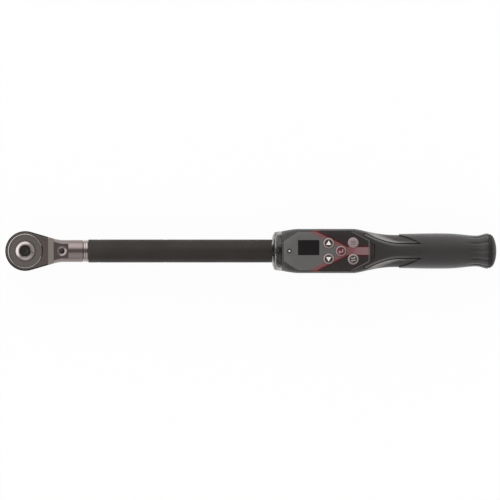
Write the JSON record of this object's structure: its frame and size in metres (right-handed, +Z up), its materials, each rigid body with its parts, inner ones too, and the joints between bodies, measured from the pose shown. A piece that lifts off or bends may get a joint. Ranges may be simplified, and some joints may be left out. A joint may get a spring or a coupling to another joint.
{
  "type": "torque wrench",
  "caption": "Electronic torque wrench: round reversible ratchet head with square drive, slim barrel, display and keypad housing, waisted rubber grip.",
  "frame": {"origin": "centre of the drive square's end face, on the drive axis", "axes": "+X along the wrench from the drive to the grip's end, +Y to the left of the display as read from the grip, +Z up out of the display side"},
  "size_m": [0.4418, 0.0398, 0.0466],
  "materials": {
    "satin_chrome": "satin",
    "bright_chrome": "polished",
    "tool_steel": "plain",
    "black_barrel": "satin black",
    "clear_lens": "clear moulded plastic",
    "black_housing": "fine grain",
    "printed_panel": "printed film",
    "screen_glass": "gloss",
    "key_grey": "matt",
    "board_green": "solder mask",
    "component_black": "matt",
    "gauge_foil": "foil on film",
    "battery_wrap": "shrink wrap",
    "grip_rubber": "matt"
  },
  "bodies": {
    "wrench": {"head_body": "satin_chrome", "cover_plate": "satin_chrome", "snap_ring": "bright_chrome", "socket_neck": "bright_chrome", "collar_ring": "bright_chrome", "pawl_pin": "tool_steel", "latch_spring": "tool_steel", "barrel_pin_front": "tool_steel", "barrel_pin_rear": "tool_steel", "barrel_pin_joint": "tool_steel", "handle_joint": "tool_steel", "handle_pin": "tool_steel", "handle_tube": "tool_steel", "battery_contact": "tool_steel", "housing_screw_1": "tool_steel", "housing_screw_2": "tool_steel", "housing_screw_3": "tool_steel", "housing_screw_4": "tool_steel", "board_screw_1": "tool_steel", "board_screw_2": "tool_steel", "barrel": "black_barrel", "light_ring": "clear_lens", "status_led": "clear_lens", "upper_housing": "black_housing", "lower_housing": "black_housing", "keypad_overlay": "printed_panel", "display_window": "screen_glass", "main_board": "board_green", "led_board": "board_green", "display_module": "component_black", "buzzer": "component_black", "switch_up": "component_black", "switch_down": "component_black", "switch_enter": "component_black", "switch_menu": "component_black", "switch_units": "component_black", "gauge_lead": "component_black", "power_lead": "component_black", "strain_gauge_1": "gauge_foil", "strain_gauge_2": "gauge_foil", "strain_gauge_3": "gauge_foil", "strain_gauge_4": "gauge_foil", "battery": "battery_wrap", "grip": "grip_rubber"},
    "drive": {"drive_gear": "tool_steel", "detent_ball": "bright_chrome", "button_spring": "tool_steel"},
    "release": {"release_button": "component_black"},
    "dial": {"reversing_dial": "bright_chrome", "pawl_plunger": "tool_steel"},
    "ratchet_pawl": {"pawl": "tool_steel"},
    "latch": {"latch_pin": "satin_chrome"},
    "cap": {"end_cap": "black_housing", "end_cap_seal": "grip_rubber", "battery_spring": "tool_steel"},
    "key_up_body": {"key_up": "key_grey"},
    "key_down_body": {"key_down": "key_grey"},
    "key_enter_body": {"key_enter": "key_grey"},
    "key_menu_body": {"key_menu": "key_grey"},
    "key_units_body": {"key_units": "key_grey"}
  },
  "joints": [
    {"name": "drive_spin", "type": "hinge", "parent": "wrench", "child": "drive", "pos_m": [0, 0, 0], "axis": [0, 0, 1], "continuous": true},
    {"name": "release_press", "type": "slide", "parent": "drive", "child": "release", "axis": [0, 0, -1], "range_m": [0, 0.003], "stiffness_N_per_m": 800, "deforming": ["button_spring"]},
    {"name": "dial_turn", "type": "hinge", "parent": "wrench", "child": "dial", "pos_m": [0, 0, 0], "axis": [0, 0, 1], "range_deg": [0, 24]},
    {"name": "pawl_rock", "type": "hinge", "parent": "wrench", "child": "ratchet_pawl", "pos_m": [0.0116, 0, 0], "axis": [0, 0, 1], "range_deg": [0, 11.6]},
    {"name": "latch_press", "type": "slide", "parent": "wrench", "child": "latch", "axis": [0, 0, -1], "range_m": [0, 0.0026], "stiffness_N_per_m": 800, "deforming": ["latch_spring"]},
    {"name": "end_cap_unscrew", "type": "slide", "parent": "wrench", "child": "cap", "axis": [1, 0, 0], "range_m": [0, 0.0135]},
    {"name": "key_up_press", "type": "slide", "parent": "wrench", "child": "key_up_body", "axis": [0, 0, -1], "range_m": [0, 0.0005], "stiffness_N_per_m": 1500},
    {"name": "key_down_press", "type": "slide", "parent": "wrench", "child": "key_down_body", "axis": [0, 0, -1], "range_m": [0, 0.0005], "stiffness_N_per_m": 1500},
    {"name": "key_enter_press", "type": "slide", "parent": "wrench", "child": "key_enter_body", "axis": [0, 0, -1], "range_m": [0, 0.0005], "stiffness_N_per_m": 1500},
    {"name": "key_menu_press", "type": "slide", "parent": "wrench", "child": "key_menu_body", "axis": [0, 0, -1], "range_m": [0, 0.0005], "stiffness_N_per_m": 1500},
    {"name": "key_units_press", "type": "slide", "parent": "wrench", "child": "key_units_body", "axis": [0, 0, -1], "range_m": [0, 0.0005], "stiffness_N_per_m": 1500}
  ],
  "couplings": [
    {"joint": "pawl_rock", "follows": "dial_turn", "ratio": 0.48333}
  ]
}
